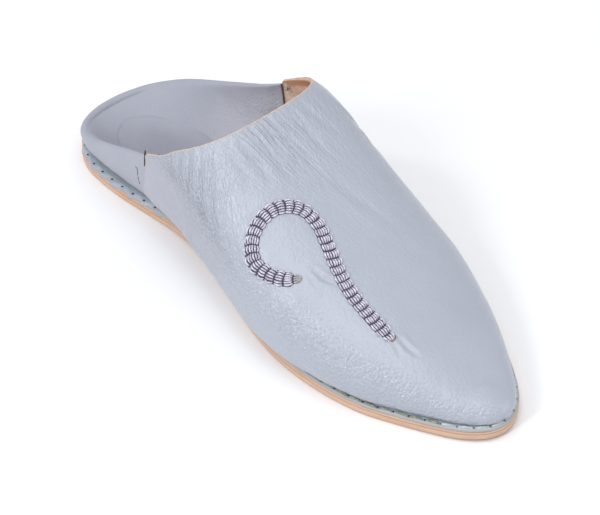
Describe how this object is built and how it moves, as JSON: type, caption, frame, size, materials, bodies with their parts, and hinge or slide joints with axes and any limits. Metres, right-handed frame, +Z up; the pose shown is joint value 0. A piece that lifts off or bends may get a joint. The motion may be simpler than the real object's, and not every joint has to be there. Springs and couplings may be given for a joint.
{
  "type": "babouche slipper",
  "caption": "Right-foot backless leather slipper with a pointed toe, low rolled heel quarter, flat welted leather sole and a raised hook of cord embroidery on the vamp.",
  "frame": {"origin": "on the floor, under the middle of the shoe's box", "axes": "+X from the heel to the toe, +Y to the wearer's left, which is the inner side of this right foot, +Z up"},
  "size_m": [0.27, 0.0976, 0.078],
  "materials": {
    "sole_leather": "raw vegetable-tanned edge, matt",
    "welt_leather": "dyed, matt",
    "sock_leather": "dyed, matt",
    "upper_leather": "dyed, satin, fine grain",
    "silk_thread": "silky thread"
  },
  "bodies": {
    "root": {"outsole": "sole_leather", "welt": "welt_leather", "insole": "sock_leather", "upper": "upper_leather", "embroidery": "silk_thread"}
  },
  "joints": []
}
